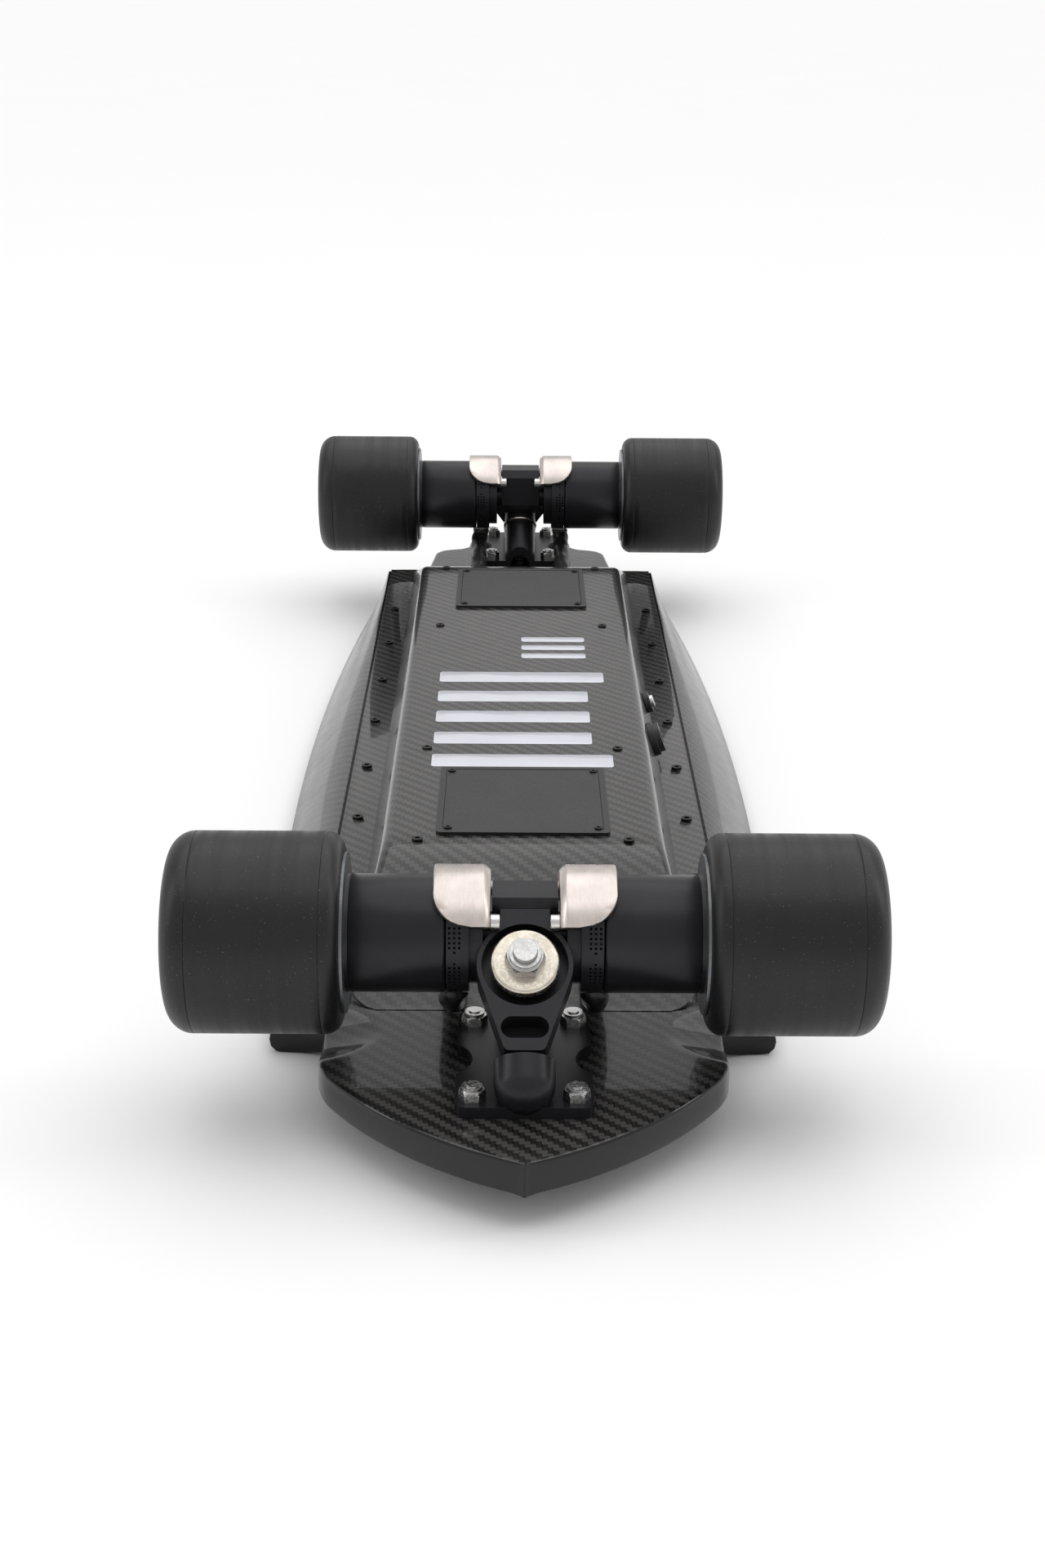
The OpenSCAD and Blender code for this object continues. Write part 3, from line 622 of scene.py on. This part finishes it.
def cover_half(y):
    away = abs(y - MID_Y)
    top = max(PAD_Z + 0.3, cover_height(away))
    r = min(COVER_EDGE_R, 0.75 * (top - PAD_Z))
    cz = top - r
    cx = COVER_FOOT_X - (r + (cz - PAD_Z) * math.sin(WALL_TILT)) / math.cos(WALL_TILT)
    start = (cx + r * math.cos(WALL_TILT), cz + r * math.sin(WALL_TILT))
    wall_dx = start[0] - COVER_FOOT_X
    wall_dz = start[1] - PAD_Z
    wall = [(COVER_FOOT_X + wall_dx * t, PAD_Z + wall_dz * t) for t in spread(0, 1, 6)]
    edge = arc(cx, cz, r, math.degrees(WALL_TILT), 90, 10)[1:]
    flat = [(x, top) for x in spread(cx, 0, 8)[1:]]
    squeeze = 1
    into_corner = away - COVER_FOOT_Y + COVER_CORNER
    if into_corner > 0:
        reach = math.sqrt(max(0, (COVER_CORNER + 1) ** 2 - into_corner ** 2))
        squeeze = (COVER_FOOT_X - COVER_CORNER + reach) / (COVER_FOOT_X + 1)
    return [(0, PAD_Z)] + [(x * squeeze, z) for x, z in wall + edge + flat]


def cover_stations():
    """Places along the cover from its middle, closer at the foot of each ramp and at its bend."""
    toe = -COVER_FOOT_Y + 22
    bend_start = -COVER_FLAT_Y - 15
    bend_end = -COVER_FLAT_Y + 15
    ramp = spread(-COVER_FOOT_Y, toe, 12) + spread(toe, bend_end, 14)[1:]
    fine = spread(bend_start, bend_end, 12)
    away = sorted(set(round(v, 3) for v in ramp + fine)) + spread(bend_end + 15, 0, 8)
    return away + [-v for v in reversed(away[:-1])]


def cover_piece():
    loops = []
    for away in cover_stations():
        y = MID_Y + away
        loops.append([(x, y, z) for x, z in both_halves(cover_half(y))])
    shell = loft(loops)
    plate = rounded_plate(2 * SEAT_X, 2 * FLANGE_Y, 14, SEAT_Z - 0.3, SEAT_Z + FLANGE_T, 0.6)
    verts, faces = join([shell, moved(plate, y=MID_Y)])
    build("cover_shell", verts, faces, "board", "carbon", FINISHES["carbon"], hides=["electronics_cover"])


WIDE_STRIPE = (94, 18)
NARROW_STRIPE = (84, 18)
SMALL_STRIPE = (38, 9)
PAINT_T = 0.12


def stripe(size, x, y):
    return moved(rounded_plate(*size, 2, 0, PAINT_T, 0.05), x=x, y=MID_Y + y, z=COVER_Z)


def cover_stripes():
    """Plain white stripes printed on the cover: five large ones and three small ones."""
    parts = []
    for i in range(5):
        outer = i in (0, 4)
        parts.append(stripe(WIDE_STRIPE if outer else NARROW_STRIPE, 0 if outer else -5, -130 + 34 * i))
    for i in range(3):
        parts.append(stripe(SMALL_STRIPE, 19, 46 + 16 * i))
    verts, faces = join(parts)
    paint = plain_finish("stripe_paint", (0.66, 0.68, 0.74), 0.4, grain=1200, vary=0.04, coat=0.6)
    build("cover_stripes", verts, faces, "board", "carbon", paint)


# ---- wheels and motors -------------------------------------------------

def tyre_profile():
    """Closed (x, radius) outline with flash lines at both shoulders."""
    inner_r = 7
    outer_r = 10.5
    flash = 0.25
    core = in_mm(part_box("front_left_hub")[1].z) - AXLE_Z - 2
    line_in = WHEEL_IN + inner_r
    line_out = WHEEL_OUT - outer_r
    outline = [(WHEEL_IN, core), (WHEEL_IN, WHEEL_R - inner_r)]
    outline += arc(line_in, WHEEL_R - inner_r, inner_r, 180, 92, 14)[1:]
    outline += [(line_in + 0.2, WHEEL_R), (line_in + 0.5, WHEEL_R - flash), (line_in + 0.9, WHEEL_R)]
    outline += [(x, WHEEL_R) for x in spread(line_in + 4, line_out - 4, 6)]
    outline += [(line_out - 0.9, WHEEL_R), (line_out - 0.5, WHEEL_R - flash), (line_out - 0.2, WHEEL_R)]
    outline += arc(line_out, WHEEL_R - outer_r, outer_r, 88, 0, 16)[1:]
    outline += [(WHEEL_OUT, core)]
    return outline


CAN_WALL = 4
CAN_GROOVE_X = CAN_OUT - 12.4
CAN_GROOVE_HALF = 0.4
CAN_GROOVE_DEPTH = 0.3


def can_profile():
    """Closed (x, radius) outline with a round inner corner and a shallow groove."""
    r = CAN_R
    outline = [(CAN_IN, r - CAN_WALL), (CAN_IN, r - 1.2), (CAN_IN + 0.3, r - 0.5), (CAN_IN + 0.9, r - 0.1)]
    outline += [(CAN_IN + 1.4, r), (CAN_GROOVE_X - CAN_GROOVE_HALF, r), (CAN_GROOVE_X, r - CAN_GROOVE_DEPTH)]
    return outline + [(CAN_GROOVE_X + CAN_GROOVE_HALF, r), (CAN_OUT, r), (CAN_OUT, r - CAN_WALL)]


def wheel_pieces(end, side):
    place = axle_place(end, side)
    body = f"{end}_{side}_wheel"
    tread = revolve(tyre_profile(), 160)
    rotor = revolve(can_profile(), 128)
    build(f"{body}_tread", *tread, body, "tyre", FINISHES["tyre"], [f"{end}_{side}_tyre"], place, 40)
    build(f"{body}_rotor", *rotor, body, "anodised", FINISHES["anodised"], [f"{end}_{side}_can"], place, 40)


HOLE_ROWS = 7
HOLE_STEP = 4.7
HOLE_GROUPS = 9
HOLE_R = 0.55
HOLE_CORNERS = 12
FIRST_COLUMN = 25.3
COLUMN_WIDTH = 2
VENT_IN = 22.6
VENT_OUT = 31.6
VENT_WALL = 1.2


def ring_cells():
    """(start angle, end angle, pierced columns) for each row of cells round the ring."""
    period = 360 / HOLE_GROUPS
    rows = []
    for group in range(HOLE_GROUPS):
        first = group * period - HOLE_ROWS * HOLE_STEP / 2
        for row in range(HOLE_ROWS):
            columns = (1,) if row in (0, HOLE_ROWS - 1) else (0, 1, 2)
            rows.append((first + row * HOLE_STEP, first + (row + 1) * HOLE_STEP, columns))
        rows.append((first + HOLE_ROWS * HOLE_STEP, first + period, ()))
    return rows


def ring_point(verts, x, degrees, r):
    a = math.radians(degrees)
    verts.append((x, r * math.cos(a), r * math.sin(a)))
    return len(verts) - 1


def hole_corners(verts, x, degrees, r):
    """Points round a hole, from the corner of its cell with the lowest x and angle."""
    around = []
    for k in range(HOLE_CORNERS):
        turn = math.radians(-135 + 360 / HOLE_CORNERS * k)
        dx = HOLE_R * math.cos(turn)
        da = math.degrees(HOLE_R * math.sin(turn) / CAN_R)
        around.append(ring_point(verts, x + dx, degrees + da, r))
    return around


def pierced_faces(corner, around):
    """Four faces between a cell's corners and its hole."""
    quarter = HOLE_CORNERS // 4
    faces = []
    for side in range(4):
        ring = [around[(quarter * side + k) % HOLE_CORNERS] for k in range(quarter + 1)]
        faces.append((corner[side], corner[(side + 1) % 4], *reversed(ring)))
    return faces


def perforated_ring():
    """Outer skin of the vent ring, as cells along the axle and round it, some with a round hole."""
    lines = [VENT_IN] + [FIRST_COLUMN + COLUMN_WIDTH * i for i in range(4)] + [VENT_OUT]
    rows = ring_cells()
    verts = []
    faces = []
    for low, high, columns in rows:
        for i, (x0, x1) in enumerate(zip(lines, lines[1:])):
            rims = []
            for r in (CAN_R, CAN_R - VENT_WALL):
                cell = ((x0, low), (x1, low), (x1, high), (x0, high))
                corner = [ring_point(verts, x, a, r) for x, a in cell]
                if i - 1 not in columns:
                    faces.append(tuple(corner))
                    continue
                rims.append(hole_corners(verts, (x0 + x1) / 2, (low + high) / 2, r))
                faces += pierced_faces(corner, rims[-1])
            if rims:
                outer, inner = rims
                for k in range(HOLE_CORNERS):
                    j = (k + 1) % HOLE_CORNERS
                    faces.append((outer[k], outer[j], inner[j], inner[k]))
    for x in (VENT_IN, VENT_OUT):
        for low, high, _ in rows:
            ends = ((low, CAN_R), (high, CAN_R), (high, CAN_R - VENT_WALL), (low, CAN_R - VENT_WALL))
            faces.append(tuple(ring_point(verts, x, a, r) for a, r in ends))
    return verts, faces


def vent_back():
    """Closed inner disc of the vent ring, behind the perforated skin."""
    bore = 9.2
    rim = CAN_R - VENT_WALL - 0.05
    return revolve([(VENT_IN, bore), (VENT_IN, rim), (VENT_IN + 2, rim), (VENT_IN + 2, bore)], 96)


def mirrored(shape):
    verts, faces = shape
    return [(-x, y, z) for x, y, z in verts], [tuple(reversed(face)) for face in faces]


def both_sides(shape):
    return join([shape, mirrored(shape)])


GUARD_IN = 14
GUARD_OUT = 37
GUARD_LOW = 30
GUARD_CORNER = 15
GUARD_FOOT_R = 16.5
GUARD_CHAMFER = 2.4
GUARD_WALL = 3


def guard_shape():
    """Curved plate over the motor's inner end, with a chamfered inner edge and round lower outer corners."""
    inner = CAN_R + 0.6
    loops = []
    for degrees in spread(GUARD_LOW, 180 - GUARD_LOW, 61):
        low_end = min(degrees - GUARD_LOW, 180 - GUARD_LOW - degrees)
        from_end = math.radians(low_end) * GUARD_R
        outer = GUARD_OUT
        if from_end < GUARD_CORNER:
            drop = GUARD_CORNER - from_end
            outer -= GUARD_CORNER - math.sqrt(max(0, GUARD_CORNER ** 2 - drop ** 2))
        section = [(GUARD_IN, GUARD_FOOT_R), (GUARD_IN, GUARD_R - GUARD_CHAMFER)]
        section += [(GUARD_IN + 0.2, GUARD_R - 2.0), (GUARD_IN + GUARD_CHAMFER, GUARD_R - 0.15)]
        section.append((GUARD_IN + 2.9, GUARD_R))
        section += [(x, GUARD_R) for x in spread(GUARD_IN + 4, outer - 0.6, 5)]
        section += [(outer - 0.2, GUARD_R - 0.2), (outer, GUARD_R - 0.6), (outer, inner)]
        section += [(GUARD_IN + GUARD_WALL, inner), (GUARD_IN + GUARD_WALL, GUARD_FOOT_R)]
        a = math.radians(degrees)
        loops.append([(x, r * math.cos(a), r * math.sin(a)) for x, r in section])
    return loft(loops)


def truck_pieces(end):
    body = f"{end}_truck"
    on_axle = truck_place(end) @ Matrix.Translation((0, 0, AXLE_Z * MM))
    vents = both_sides(join([perforated_ring(), vent_back()]))
    guards = both_sides(guard_shape())
    build(f"{end}_vents", *vents, body, "anodised", FINISHES["anodised"], [f"{end}_vent_rings"], on_axle, 40)
    build(f"{end}_cable_guards", *guards, body, "guard", FINISHES["guard"], [f"{end}_guards"], on_axle, 30)
    softened(f"{end}_hanger", 0.5, FINISHES["anodised"])
    softened(f"{end}_baseplate", 0.5, FINISHES["anodised"])


# ---- kingpin parts -----------------------------------------------------

WASHER_LOW = 8
WASHER_TOP = 12.5
WASHER_R = 13.8
BORE_R = 4.9
# Height range along the kingpin and radius of each bushing
BUSHINGS = {"board": (-22, -8, 11.4), "road": (0, 10.5, 12)}
# The thin washer under the board-side bushing, as (height, radius)
LOWER_WASHER = [(-23, BORE_R), (-23, 12), (-22.2, 12.2), (-22, 11.6), (-22, BORE_R)]


def washer_shape():
    """Cup washer turned about the kingpin, with a rolled rim and a shallow dish."""
    rim = 1.4
    top = [(WASHER_TOP, 5.2), (WASHER_TOP - 0.15, 8.0)]
    top += arc(WASHER_TOP - rim, WASHER_R - rim, rim, 0, 90, 8)
    wall = [(WASHER_LOW, WASHER_R), (WASHER_LOW, WASHER_R - 1.2)]
    return top + wall + [(WASHER_TOP - 1.5, 12.2), (WASHER_TOP - 1.5, 5.2)]


def bushing_profile(low, high, r):
    waist = ((low + high) / 2, r * 0.95)
    lower = [(low, BORE_R), (low, r - 0.6), (low + 0.6, r)]
    return lower + [waist, (high - 0.6, r), (high, r - 0.6), (high, BORE_R)]


def turned_on_kingpin(profile, steps=64):
    """Turn (height, radius) points about the kingpin."""
    verts, faces = revolve(profile, steps)
    return [(y, z, x) for x, y, z in verts], faces


def bushing_piece(end, name, place):
    """A bushing turned about the kingpin, baked in place and tied to no body, standing for its CAD node."""
    low, high, r = BUSHINGS[name]
    verts, faces = turned_on_kingpin(bushing_profile(low, high, r))
    piece = build(f"{end}_{name}_bush", verts, faces, None, None, FINISHES["urethane"], place=place)
    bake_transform(piece)
    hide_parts(f"{end}_{name}_bushing")


def kingpin_parts():
    for end in ENDS:
        place = kingpin_place(end)
        verts, faces = join([turned_on_kingpin(washer_shape(), 96), turned_on_kingpin(LOWER_WASHER)])
        hides = ["cup_washers"] if end == "front" else []
        finish = FINISHES["washer_zinc"]
        build(f"{end}_cup_washer", verts, faces, "board", "washer_zinc", finish, hides, place, 40)
        for name in BUSHINGS:
            bushing_piece(end, name, place)


# ---- phase cables ------------------------------------------------------

CABLE_ROUTE = [(29, 1, 55.8), (29, 1, 53), (29.5, 3, 50), (30, 8, 46.6), (30, 15, 44.3)]
CABLE_ROUTE += [(30, y, 43.5) for y in range(24, 95, 14)]
CABLE_R = 6
CABLE_STEPS = 5


def smooth_route(points):
    """A Catmull-Rom curve through the points."""
    last = len(points) - 1
    fine = []
    for i in range(last):
        p = [Vector(points[max(0, min(last, i + k))]) for k in (-1, 0, 1, 2)]
        slope = p[2] - p[0]
        bend = 2 * p[0] - 5 * p[1] + 4 * p[2] - p[3]
        twist = 3 * p[1] - p[0] - 3 * p[2] + p[3]
        for step in range(CABLE_STEPS):
            t = step / CABLE_STEPS
            fine.append(0.5 * (2 * p[1] + slope * t + bend * t * t + twist * t ** 3))
    fine.append(Vector(points[-1]))
    return fine


def cable_shape(rng):
    """Heat-shrink sleeve along the route, lumpy where the leads inside cross."""
    fine = smooth_route(CABLE_ROUTE)
    phases = [rng.uniform(0, math.tau) for _ in range(3)]
    loops = []
    for i, centre in enumerate(fine):
        ahead = (fine[min(i + 1, len(fine) - 1)] - fine[max(i - 1, 0)]).normalized()
        side = ahead.cross(Vector((1, 0, 0))).normalized()
        across = side.cross(ahead)
        loop = []
        for j in range(32):
            a = math.tau * j / 32
            lump = 0.93 + 0.05 * math.sin(3 * a + 0.25 * i + phases[0]) + 0.03 * math.sin(0.8 * i + phases[1])
            lump += 0.02 * math.sin(5 * a - 0.4 * i + phases[2])
            loop.append(tuple(centre + CABLE_R * lump * 0.98 * (side * math.cos(a) + across * math.sin(a))))
        loops.append(loop)
    return loft(loops)


def cables():
    for end in ENDS:
        rng = random.Random(ENDS.index(end) + 5)
        verts, faces = join([cable_shape(rng), mirrored(cable_shape(rng))])
        place = truck_place(end)
        finish = FINISHES["cable"]
        piece = build(f"{end}_cable_sleeves", verts, faces, None, None, finish, place=place, sharp_degrees=60)
        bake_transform(piece)
        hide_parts(f"{end}_phase_cables")


# ---- small metal and plastic parts --------------------------------------

def soft_parts():
    for node in [f"{end}_hatch_{part}" for part in ("frame", "plate") for end in ENDS]:
        softened(node, 0.3, FINISHES[slot_of[node]])
    small = ("kingpin_nuts", "mount_nuts", "kingpins", "charge_port", "power_button_bezel", "power_button")
    for node in small:
        softened(node, 0.35, FINISHES[slot_of[node]])
    for end in ENDS:
        softened(f"{end}_guard_screws", 0.4, FINISHES["steel"])


# ---- stage, lights and camera, in metres --------------------------------

FLOOR_HALF = 60
FLOOR_WHITE = 0.93
SKY_COLOUR = (1.0, 0.985, 0.985, 1)
SKY_STRENGTH = 0.66
SUN_WIDTH = 80
SUN_STRENGTH = 1.3
SUN_LEAN = (-14, 6)
BOX_POWER = 7
CAMERA_AT = (-0.0065, -1.1726, 0.462)
CAMERA_DOWN = 21.3
CAMERA_ASIDE = -0.36
CAMERA_ROLL = 0.46


def pale_material(name, value):
    m = Nodes(name)
    m.set(Base_Color=m.grey(m.noise(3, 2), value * 0.995, value), Roughness=0.9, Specular_IOR_Level=0.1)
    return m.material


def stage():
    half = in_mm(FLOOR_HALF)
    corners = [(-half, -half, 0), (half, -half, 0), (half, half, 0), (-half, half, 0)]
    floor = build("floor", corners, [(0, 1, 2, 3)], None, None, pale_material("floor_white", FLOOR_WHITE))
    world = bpy.data.worlds.new("studio")
    bpy.context.scene.world = world
    world.use_nodes = True
    background = world.node_tree.nodes["Background"]
    background.inputs[0].default_value = SKY_COLOUR
    background.inputs[1].default_value = SKY_STRENGTH
    bpy.context.scene.view_settings.view_transform = "Standard"


def softbox(name, spot, target, width, height, power):
    data = bpy.data.lights.new(name, "AREA")
    data.shape = "RECTANGLE"
    data.size = width
    data.size_y = height
    data.energy = power
    lamp = bpy.data.objects.new(name, data)
    bpy.context.collection.objects.link(lamp)
    lamp.location = spot
    lamp.rotation_euler = (Vector(target) - Vector(spot)).to_track_quat("-Z", "Y").to_euler()


def lights():
    data = bpy.data.lights.new("soft_sun", "SUN")
    data.angle = math.radians(SUN_WIDTH)
    data.energy = SUN_STRENGTH
    sun = bpy.data.objects.new("soft_sun", data)
    bpy.context.collection.objects.link(sun)
    sun.rotation_euler = (math.radians(SUN_LEAN[0]), math.radians(SUN_LEAN[1]), 0)
    softbox("left_box", (-2.2, -0.4, 1.3), (0, 0, 0.05), 0.5, 1.6, BOX_POWER)
    softbox("right_box", (2.2, -0.1, 1.3), (0, 0, 0.05), 0.5, 1.6, BOX_POWER)


def camera():
    data = bpy.data.cameras.new("view")
    data.lens = 50
    data.sensor_width = 36
    eye = bpy.data.objects.new("view", data)
    bpy.context.collection.objects.link(eye)
    aside = Matrix.Rotation(math.radians(CAMERA_ASIDE), 4, "Z")
    down = Matrix.Rotation(math.radians(90 - CAMERA_DOWN), 4, "X")
    roll = Matrix.Rotation(math.radians(CAMERA_ROLL), 4, "Z")
    eye.matrix_world = Matrix.Translation(CAMERA_AT) @ aside @ down @ roll
    bpy.context.scene.camera = eye


camera()
stage()
lights()
dress_cad_nodes()
deck_piece()
cover_piece()
cover_stripes()
for end in ENDS:
    truck_pieces(end)
    for side in SIDES:
        wheel_pieces(end, side)
kingpin_parts()
cables()
soft_parts()

bpy.context.view_layer.update()
